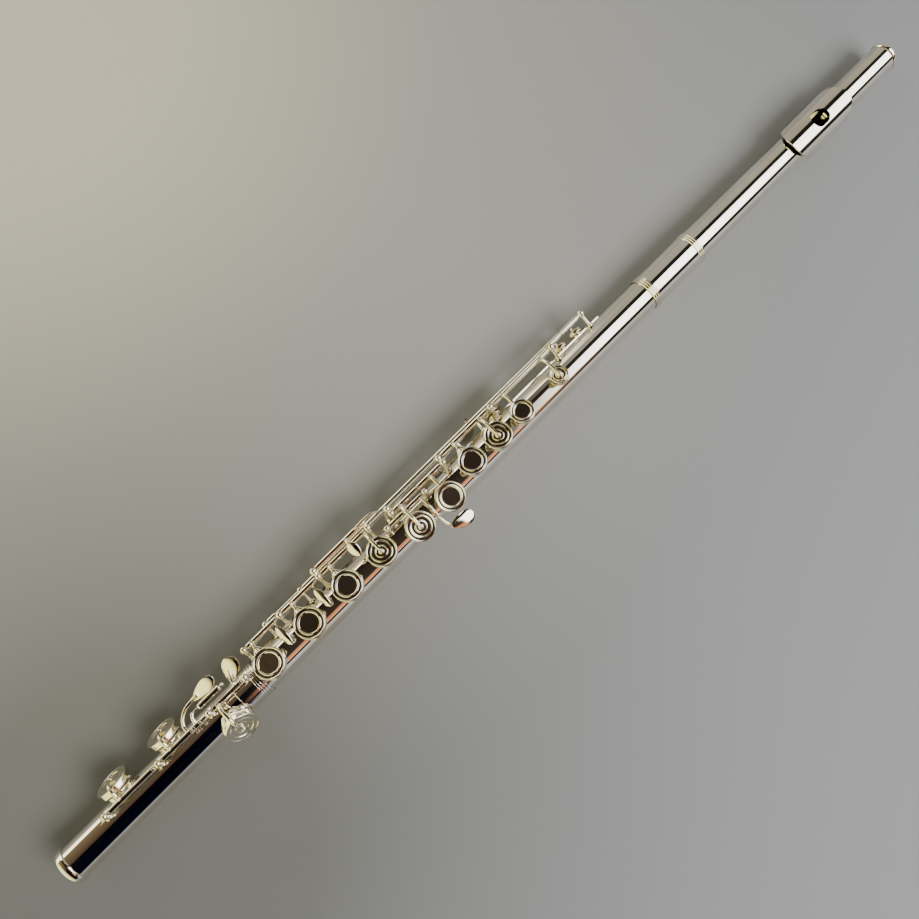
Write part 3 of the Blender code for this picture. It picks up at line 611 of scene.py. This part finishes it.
def keyCup(name, stepped):
    x, angle, r = cups[name]
    top = cupSize(name)["top"]
    low = top - cupSize(name)["skirt"]
    turn = [(top - 1.1, pinhole), (top - 1.1, r - 0.6), (low + 0.15, r - 0.45), (low, r - 0.35),
            (low, r - 0.06), (low + 0.1, r), (low + 0.3, r), (low + 0.42, r - 0.1), (top - 0.75, r - 0.12),
            (top - 0.4, r - 0.16), (top - 0.15, r - 0.3), (top - 0.02, r - 0.5), (top, r - 0.7),
            (top - 0.05, r - 0.9), (top - 0.16, r - 1.05), (top - 0.2, r - 1.2)]
    turn += [(top - drop, r * share) for drop, share in (steppedTop if stepped else plainTop)]
    turn.append((top - (0.5 if stepped else 0.42), pinhole))
    return turned(turn, 96, "cap", outOfTube(x, angle))


# a pad: a flat disc of skin over felt with rounded edges and a faint step where it seats on its rim
def keyPad(name):
    x, angle, r = cups[name]
    size = cupSize(name)
    low, high, wide = size["rim"] + 0.3, size["top"] - 1.4, r - 0.7
    turn = [(high, pinhole), (high, wide - 0.1), (high - 0.15, wide), (low + 0.3, wide),
            (low + 0.08, wide - 0.12), (low, wide - 0.4), (low, wide - 0.9), (low + 0.05, wide - 1.1),
            (low, wide - 1.5), (low, pinhole)]
    return turned(turn, 72, "cap", outOfTube(x, angle))


# a turned boss with a domed head that pins an arm to the middle of its cup
def boss(x, angle):
    top = full["top"]
    peak = top + 1.85
    turn = [(top - 0.35, pinhole), (top - 0.35, 1.6), (top + 0.1, 1.6), (top + 0.25, 1.35), (top + 0.5, 1.2),
            (peak - 0.7, 1.2), (peak - 0.35, 1.05), (peak - 0.1, 0.7), (peak, pinhole)]
    return turned(turn, 40, "cap", outOfTube(x, angle))


# an arm to the near side of its cup, split there into two tails unless the cup is small
def armToSide(name):
    x, _, r = cups[name]
    neck = bentBar([(x, *mainLine), (x, -14.8, 13.3), (x, -12.6, 14.6), (x, 0.4 - r, 15.0)], 1.0,
                   [1.35, 1.3, 1.0, 0.9])
    if r < 8:
        return [neck]
    tails = []
    for side in (-1, 1):
        tail = [(x, -12.6, 14.6), (x + side * 0.45, -11.0, 14.95), (x + side * 1.3, -9.8, 14.95),
                (x + side * 3.3, 0.45 - math.sqrt(r * r - 11), 14.8)]
        tails.append(bentBar(tail, 0.9, [0.9, 1.0, 1.0, 0.5]))
    return [neck] + tails


# an arm over the top of its cup to a boss at the middle
def armOver(x):
    route = [(x, *mainLine), (x, -13.8, 13.9), (x, -11.4, 15.7), (x, -8.0, 16.9), (x, -3.5, 16.9),
             (x, -0.2, 16.85)]
    return [bentBar(route, 0.9, [1.5, 1.35, 1.2, 1.15, 1.0, 0.75]), boss(x, 0)]


# a key's metal is one piece, and each of its pads another
def makeKey(stem, line, tube, parts, rest, stepped=False, cupNames=None):
    cupNames = cupNames or [stem]
    metal = [keyCup(name, stepped or name == "c_sharp") for name in cupNames] + parts
    metal.append(hingeTube(line, *tube))
    body = stem + "_key"
    swing(metal, line, rest)
    keep(oneWord(stem) + "Key", metal, body, keyPlate, [body])
    for name in cupNames:
        pad = swing([keyPad(name)], line, rest)
        keep(oneWord(name) + "Pad", pad, body, skin, [name + "_pad"])


# hinge tubes of the keys on the main line. The pinned ones have an arm over the cup
mainKeys = {"f_sharp": (438.2, 452.6), "f": (453.2, 471.0), "e": (475.8, 500.3), "d": (505.1, 526.6),
            "a": (359.1, 378.2), "b_flat": (341.4, 358.5)}
pinned = ("f_sharp", "b_flat")
for stem, tube in mainKeys.items():
    arm = armOver(cups[stem][0]) if stem in pinned else armToSide(stem)
    makeKey(stem, mainLine, tube, arm, openTurn["body"], stepped=stem in pinned)
cArms = armToSide("c") + armOver(cups["c_sharp"][0])
makeKey("c", mainLine, (291.4, 336.6), cArms, openTurn["body"], cupNames=["c", "c_sharp"])

upperArm = bentBar([(391.5, *gLine), (391.5, -10.6, 14.9), (391.5, -8.4, 16.3), ringPoint(391.5, -10.3, 17.1)],
                   1.0, [1.3, 1.1, 0.95, 0.85])
makeKey("upper_g", gLine, (383.0, 400.9), [upperArm], openTurn["body"])
lowerArm = bentBar([(414.8, *gLine), (414.8, -10.4, 15.0), (414.8, -7.6, 16.8), ringPoint(414.8, -9, 18.2),
                    ringPoint(414.8, 2, 17.9), ringPoint(414.8, 19.5, 16.9)], 0.9,
                   [1.5, 1.35, 1.2, 1.1, 1.0, 0.75])
makeKey("lower_g", gLine, (401.5, 418.6), [lowerArm, boss(414.8, 20)], openTurn["body"], stepped=True)

# the G sharp touch is a long teardrop on the far side, swept back along the flute from its finger
finger = bentBar([(403.2, *gSharpLine), (403.2, -4.0, 13.3), (403.2, 3.0, 13.3), (403.2, 10.0, 10.6),
                  (402.2, 14.2, 9.0), (398.5, 16.8, 8.6)], 1.0, [1.3, 1.0, 1.0, 1.0, 1.05, 1.2])
tear = fingerPlate((395.0, 18.0, 8.4), 7.6, 4.4, 1.3, tilt=-12, turn=-13, taper=-0.6, dome=0.8, lean=-10)
lever = bentBar([(424.8, *gSharpLine), (424.8, -12.0, 8.9), (424.4, -14.8, 3.2), (421.0, -16.8, -2.4),
                 (416.4, -16.2, -5.6)], 1.0, [1.3, 1.1, 1.0, 0.95, 0.8])
makeKey("g_sharp", gSharpLine, (401.9, 426.1), [finger, tear, lever], 0)


# a trill key: a small cup low on the player's side, a long tube, and a paddle over the tube
def trillParts(x, paddleX):
    arm = bentBar([(x, *trillLine), (x, -18.6, 3.0), (x, -17.0, -1.0), ringPoint(x, -95, 13.8)], 1.0,
                  [1.3, 1.05, 0.95, 0.8])
    stalk = bentBar([(paddleX, *trillLine), (paddleX, -14.2, 7.9), (paddleX, -11.6, 11.2),
                     (paddleX, -8.6, 14.5)], 1.0, [1.35, 1.0, 1.0, 1.25])
    paddle = fingerPlate((paddleX, -5.6, 15.0), 6.4, 2.5, 1.2, turn=90, taper=-0.25, dome=0.45, lean=16)
    return [arm, stalk, paddle]


sharpTrill = trillParts(269.0, 507.8) + [rod(trillLine, 259.4, 513.6), hingeTube(trillLine, 504.4, 509.6)]
makeKey("d_sharp_trill", trillLine, (264.2, 277.8), sharpTrill, 0)
makeKey("d_trill", trillLine, (278.6, 483.3), trillParts(282.0, 479.4), 0)

thumbNeck = bentBar([(338.0, *thumbLine), (338.0, -18.9, -1.2), ringPoint(338.0, -103, 16.7),
                     ringPoint(338.0, -108, 16.5)], 1.0, [1.3, 1.1, 1.0, 1.0])
thumbPlate = fingerPlate(ringPoint(338.0, -110, 16.7), 7.0, 5.0, 1.6, tilt=110, dome=0.4)
makeKey("thumb_b", thumbLine, (328.8, 346.9), [thumbNeck, thumbPlate], openTurn["thumb"])
leverParts = [
    hingeTube(thumbLine, 351.7, 363.4),
    fingerPlate(ringPoint(357.6, -110, 16.0), 5.6, 5.0, 1.2, tilt=110),
    bentBar([(357.6, *thumbLine), (357.6, -17.6, -0.8), ringPoint(357.6, -110, 15.9)], 1.0, [1.3, 1.0, 1.0]),
    bentBar([(353.4, *thumbLine), (353.4, -21.2, 5.6), (353.4, -20.6, 9.4)], 0.8, [1.3, 1.0, 0.8])]
keep("thumbBFlatLever", leverParts, "thumb_b_flat_lever", keyPlate, ["thumb_b_flat_lever"])

sideParts = [
    hingeTube(sideLine, 438.3, 471.1),
    fingerPlate((449.0, -12.2, 15.4), 4.6, 3.2, 1.2, tilt=-8, turn=90, taper=-0.2, dome=0.4, lean=18),
    bentBar([(449.0, *sideLine), (449.0, -18.4, 14.4), (449.0, -14.8, 15.6)], 1.0, [1.35, 1.0, 1.2]),
    bentBar([(440.4, *sideLine), (440.4, -20.3, 14.9), (437.6, -20.3, 15.4), (430.0, -20.0, 15.4),
             (424.8, -17.8, 14.8)], 0.8, [1.4, 1.1, 1.0, 1.0, 0.8])]
keep("sideBFlatLever", sideParts, "side_b_flat_lever", keyPlate, ["side_b_flat_lever"])
print("body keys made")

# foot joint: a socket ring with beads and a rolled end ring on the same tube as the body's
foot = {"socket": 10.46, "groove": 10.36, "bead": 10.95}
footTurn = [(532.5, 10.22), (532.5, 10.55), (532.6, 10.7)] + beads(532.7, foot["groove"], foot["bead"])[1:]
footTurn += [(537.6, foot["socket"]), (548.2, foot["socket"]), (548.5, 10.3), (548.6, tubeR), (667.2, tubeR),
             (667.4, 10.3), (667.5, 10.55), (667.8, 10.75), (669.0, 10.8), (670.9, 10.8), (671.6, 10.65),
             (671.95, 10.35), (672.0, 10.1), (672.0, 9.6), (671.8, boreR), (547.6, boreR), (547.5, 10.2)]
footTube = turned(footTurn, 144, "ring", alongTube())
footCups = ["foot_d_sharp", "foot_c_sharp", "foot_c"]
keep("footTube", toneHoles(footTube, footCups, 530, 680), "foot", tubePlate, ["foot_tube"])

footStraps = [((549.0, 646.0), (-17.5, -2.5), ribShell, [(646.0, 1)]),
              ((539.0, 552.0), (-17, -3), (10.4, 11.4)), ((535.9, 541.0), (-27, -8), (10.4, 11.3))]
footStraps += [((x - 2.1, x + 2.1), (-27, -8), thinShell) for x in (564.0, 600.0, 637.0)]
ribSet("footRib", "foot", footStraps, [(footLine, (538.0, 564.0, 600.0, 637.0))], ["foot_rib"])
footPivots = [screwHead(footLine, 538.0, -1), screwHead(footLine, 637.0, 1)]
keep("footPivotScrews", footPivots, "foot", rodSteel)


# an arm round the tube to the middle of a foot cup. path is (angle, radius) steps
def footArm(x, path):
    angle, radius = path[-1]
    route = [(x, *footLine)] + [ringPoint(x, *step) for step in path]
    swell = [1.4] + [1.15] * (len(path) - 2) + [1.0, 0.8]
    return [bentBar(route, 1.0, swell), ball(ringPoint(x, angle * 1.02, radius), 1.5)]


# both spatulas lean a little towards the foot
sharpArm = footArm(557.4, [(-6, 16.9), (13.9, 18.6), (26, 19.4), (42, 18.2), (55, 16.7)])
sharpTouch = [
    fingerPlate((540.2, -13.6, 12.4), 6.9, 4.7, 1.3, tilt=-3, turn=50, taper=-0.6, dome=0.25, lean=13),
    bentBar([(544.0, *footLine), (544.0, -8.0, 14.2), (542.6, -11.2, 13.0), (541.0, -13.6, 12.4)], 1.0,
            [1.35, 1.0, 1.0, 1.3])]
makeKey("foot_d_sharp", footLine, (540.4, 561.5), sharpArm + sharpTouch, 0, stepped=True)

lowPath = [(-26, 16.2), (-32.5, 18.0), (-45, 19.4), (-60, 18.4), (-74, 16.7)]
cTouch = [
    fingerPlate((557.4, -16.4, 11.9), 8.6, 3.6, 1.3, tilt=-3, turn=8, taper=-0.7, dome=0.25, lean=12),
    bentBar([(577.8, *footLine), (577.8, -9.0, 12.4), (573.0, -14.4, 11.3), (566.0, -16.0, 11.6),
             (562.0, -16.3, 11.9)], 1.0, [1.35, 1.05, 1.0, 1.0, 1.3])]
makeKey("foot_c_sharp", footLine, (575.4, 597.4), footArm(590.2, lowPath) + cTouch, openTurn["foot"],
        stepped=True)

# the C key's long shaft carries a bracket for its roller's axle
axleLine = (-11.1, 13.6)
shaftTurn = [(563.2, pinhole), (563.2, 0.9), (639.1, 0.9), (639.2, 0.8), (639.2, pinhole)]
axleTurn = [(549.0, pinhole), (549.0, 0.55), (571.0, 0.55), (571.2, 0.4), (571.2, pinhole)]
lowParts = footArm(625.4, lowPath) + [
    turned(shaftTurn, 32, "cap", alongTube(footLine)),
    hingeTube(footLine, 569.6, 574.6),
    bentBar([(572.0, *footLine), (571.6, -8.4, 13.8), (570.4, -10.4, 13.65), (569.2, *axleLine)], 1.0,
            [1.35, 1.0, 0.9, 0.6]),
    turned(axleTurn, 24, "cap", alongTube(axleLine)),
    ball((548.6, *axleLine), 1.0)]
makeKey("foot_c", footLine, (602.7, 634.4), lowParts, openTurn["foot"], stepped=True)
rollerTurn = [(550.2, 0.9), (550.2, 1.25), (550.35, 1.45), (550.7, 1.62), (551.4, 1.7), (564.2, 1.7),
              (564.9, 1.62), (565.25, 1.45), (565.4, 1.25), (565.4, 0.9)]
roller = swing([turned(rollerTurn, 48, "ring", alongTube(axleLine))], footLine, openTurn["foot"])
keep("cRoller", roller, "c_roller", keyPlate, ["c_roller"])
print("foot joint made")

# needle springs, of tempered steel wire, from the posts to the tubes they turn: (line, post, reach)
springs = {"radius": 0.28, "belowLine": 2.6}
bodyNeedles = [(mainLine, 289.0, 13), (mainLine, 339.0, 12), (mainLine, 380.6, -13), (mainLine, 436.0, 12),
               (mainLine, 473.4, -14), (mainLine, 502.7, -13), (mainLine, 529.0, -14), (gLine, 380.6, 12),
               (gLine, 421.0, -12), (gSharpLine, 428.6, -12), (thumbLine, 365.8, -9)]
footNeedles = [(footLine, 564.0, -11), (footLine, 600.0, -12), (footLine, 637.0, -13)]


def needle(line, x, reach):
    away = math.hypot(*line) - springs["belowLine"]
    angle = math.degrees(math.atan2(line[0], line[1]))
    route = [ringPoint(x, angle, away), ringPoint(x + reach * 0.5, angle - 1.5, away),
             ringPoint(x + reach, angle - 4, away + 0.5)]
    return bentBar(route, springs["radius"], [1.2, 1.0, 0.6])


keep("bodyNeedleSprings", [needle(*place) for place in bodyNeedles], "body", rodSteel)
keep("footNeedleSprings", [needle(*place) for place in footNeedles], "foot", rodSteel)
print("springs made")

# the cork stopper, its screw and its nut keep their CAD shapes
for node, finish, slot in (("cork_stopper", cork, "cork"), ("stopper_screw", keyPlate, "silver_plate"),
                           ("stopper_nut", keyPlate, "silver_plate")):
    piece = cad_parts[node]
    piece.data.materials.clear()
    piece.data.materials.append(finish)


# matt laminate, pale grey, with a grain too fine to see singly, and light painted into its colour: a painted
# pool of warm light from the window on the player's side, and painted shade in a dim patch beyond the foot
def laminateWithPaintedLight():
    finish, tree = blankFinish("laminateWithPaintedLight")
    place = addNode(tree, "ShaderNodeTexCoord").outputs["Object"]

    def paintedPatch(centre, reach):
        where = {"vector_type": "TEXTURE", "Location": centre, "Scale": (reach, reach, reach)}
        spot = addNode(tree, "ShaderNodeMapping", where, {"Vector": place}).outputs["Vector"]
        return addNode(tree, "ShaderNodeTexGradient", {"gradient_type": "QUADRATIC_SPHERE"}, {"Vector": spot})

    # painted light: a bright warm pool of window light painted into the laminate's colour
    paintedWindowLight = ramp(tree, paintedPatch((0.02, -0.44, 0), 0.85).outputs["Fac"], [
        (0.0, colour("#a2a3a6")), (0.12, colour("#9fa0a0")), (0.4, colour("#bdbaae")),
        (0.7, colour("#efe9ca")), (1.0, colour("#fbf4d2"))])
    # painted shade: the laminate's colour darkened in a patch beyond the foot
    paintedShade = ramp(tree, paintedPatch((0.28, 0.02, 0), 0.42).outputs["Fac"], [
        (0.0, (1, 1, 1, 1)), (0.6, (0.55, 0.54, 0.5, 1))])
    tone = addNode(tree, "ShaderNodeMixRGB", {"blend_type": "MULTIPLY", "Fac": 1.0},
                   {"Color1": paintedWindowLight.outputs["Color"], "Color2": paintedShade.outputs["Color"]})
    grain = noise(tree, place, Scale=1500.0, Detail=3.0)
    relief = bump(tree, grain.outputs["Fac"], 0.08, 0.0002)
    surface(tree, {"Roughness": 0.6, "IOR": 1.45}, tone, relief)
    return finish


lowest = min(corner[2] for corner in sizeBefore)
bpy.ops.mesh.primitive_plane_add(size=6, location=(0.37, 0, lowest - 0.0002))
floor = bpy.context.object
floor.name = "tableTop"
floor.data.materials.append(laminateWithPaintedLight())

# the room that the polished metal mirrors. Angle round the flute: 0 is overhead, positive is the far side.
# A mirror tube shows it as long streaks, which change from head to foot, so three rooms are blended along X
world = bpy.data.worlds.new("studioRoom")
bpy.context.scene.world = world
world.use_nodes = True
tree = world.node_tree
tree.nodes.clear()
ray = addNode(tree, "ShaderNodeTexCoord").outputs["Generated"]
heading = addNode(tree, "ShaderNodeSeparateXYZ", {}, {"Vector": ray})
angle = addNode(tree, "ShaderNodeMath", {"operation": "ARCTAN2"},
                {0: heading.outputs["Y"], 1: heading.outputs["Z"]})
wholeTurn = addNode(tree, "ShaderNodeMapRange", {"From Min": -math.pi, "From Max": math.pi},
                    {"Value": angle.outputs["Value"]})


# stops are (degrees, hex, strength)
def room(stops):
    lit = [((degrees + 180) / 360, colour(hexValue, power)) for degrees, hexValue, power in stops]
    return ramp(tree, wholeTurn.outputs["Result"], lit).outputs["Color"]


headRoom = room([
    (-180, "#b5b3aa", 0.7), (-92, "#b8b6ac", 0.7), (-80, "#d0cbbb", 0.8), (-31, "#c9c2b1", 0.8),
    (-28, "#4a463d", 0.4), (-5, "#2b2824", 0.3), (-1, "#ffffff", 5.0), (48, "#fffdf6", 5.5),
    (51, "#3d3a36", 0.4), (70, "#3a3733", 0.4), (74, "#d9d9d6", 1.0), (180, "#b5b5b3", 0.7)])
midRoom = room([
    (-180, "#9c9c92", 0.6), (-93, "#6d6a56", 0.5), (-90, "#f4edcc", 2.5), (-60, "#fff6d6", 5.0),
    (-57, "#3b3426", 0.4), (-20, "#4a4036", 0.5), (34, "#54483e", 0.6), (39, "#d08a60", 1.2),
    (58, "#eeb08a", 1.4), (61, "#2a2420", 0.3), (69, "#2a2420", 0.3), (73, "#dcdcdc", 1.1),
    (180, "#aeaeb0", 0.6)])
footRoom = room([
    (-180, "#a7a697", 0.6), (-103, "#8e8b74", 0.6), (-99, "#211e17", 0.2), (-94, "#211e17", 0.2),
    (-92, "#f7efc4", 2.2), (-71, "#fff8d2", 5.0), (-67, "#9a8460", 0.8), (-3, "#6e5a4a", 0.6),
    (1, "#060a1c", 0.5), (82, "#0a1024", 0.5), (86, "#b2b2b6", 0.9), (180, "#aaaaae", 0.6)])
# past the foot, a pale yellow blind
blind = addNode(tree, "ShaderNodeRGB")
blind.outputs[0].default_value = colour("#f5f0a2", 2.6)


def between(first, second, low, high):
    share = addNode(tree, "ShaderNodeMapRange", {"From Min": low, "From Max": high},
                    {"Value": heading.outputs["X"]})
    mixed = addNode(tree, "ShaderNodeMixRGB", {},
                    {"Fac": share.outputs["Result"], "Color1": first, "Color2": second})
    return mixed.outputs["Color"]


middle = between(between(headRoom, midRoom, -0.34, -0.2), footRoom, 0.14, 0.2)
rooms = between(middle, blind.outputs[0], 0.46, 0.6)
# soft even light for the table, and the room only where something mirrors it
kind = addNode(tree, "ShaderNodeLightPath")
mirror = addNode(tree, "ShaderNodeMixRGB", {"Color1": colour("#d9dad8", 0.3)},
                 {"Fac": kind.outputs["Is Glossy Ray"], "Color2": rooms})
sky = addNode(tree, "ShaderNodeBackground", {"Strength": 1.0}, {"Color": mirror.outputs["Color"]})
addNode(tree, "ShaderNodeOutputWorld", {}, {"Surface": sky.outputs["Background"]})


# a soft square light, aimed at the flute and not mirrored in its metal
def softBox(name, place, size, power, tint):
    lamp = bpy.data.lights.new(name, "AREA")
    lamp.size = size
    lamp.energy = power
    lamp.color = tint
    holder = bpy.data.objects.new(name, lamp)
    bpy.context.scene.collection.objects.link(holder)
    holder.location = place
    holder.rotation_euler = (Vector((0.37, 0, 0)) - Vector(place)).to_track_quat("-Z", "Y").to_euler()
    holder.visible_glossy = False


softBox("keyLight", (0.15, 1.3, 1.5), 1.1, 40, (0.99, 0.99, 1.0))
softBox("windowLight", (0.9, -1.4, 1.2), 1.2, 5, (1.0, 0.97, 0.86))

# the camera looks down on the flute, which lies corner to corner in its view
cameraPlace, cameraAim = Vector((0.443, 0.040, 0.520)), Vector((0.371, -0.008, 0.0))
look = (cameraAim - cameraPlace).normalized()
right = Vector((-1, 1, 0))
right = (right - right.dot(look) * look).normalized()
up = right.cross(look)
camera = bpy.data.objects.new("camera", bpy.data.cameras.new("camera"))
bpy.context.scene.collection.objects.link(camera)
camera.matrix_world = Matrix.Translation(cameraPlace) @ Matrix((right, up, -look)).transposed().to_4x4()
camera.data.lens, camera.data.sensor_width = 36.0, 36.0
camera.data.clip_start = 0.01
bpy.context.scene.camera = camera
print("stage, light and camera made")
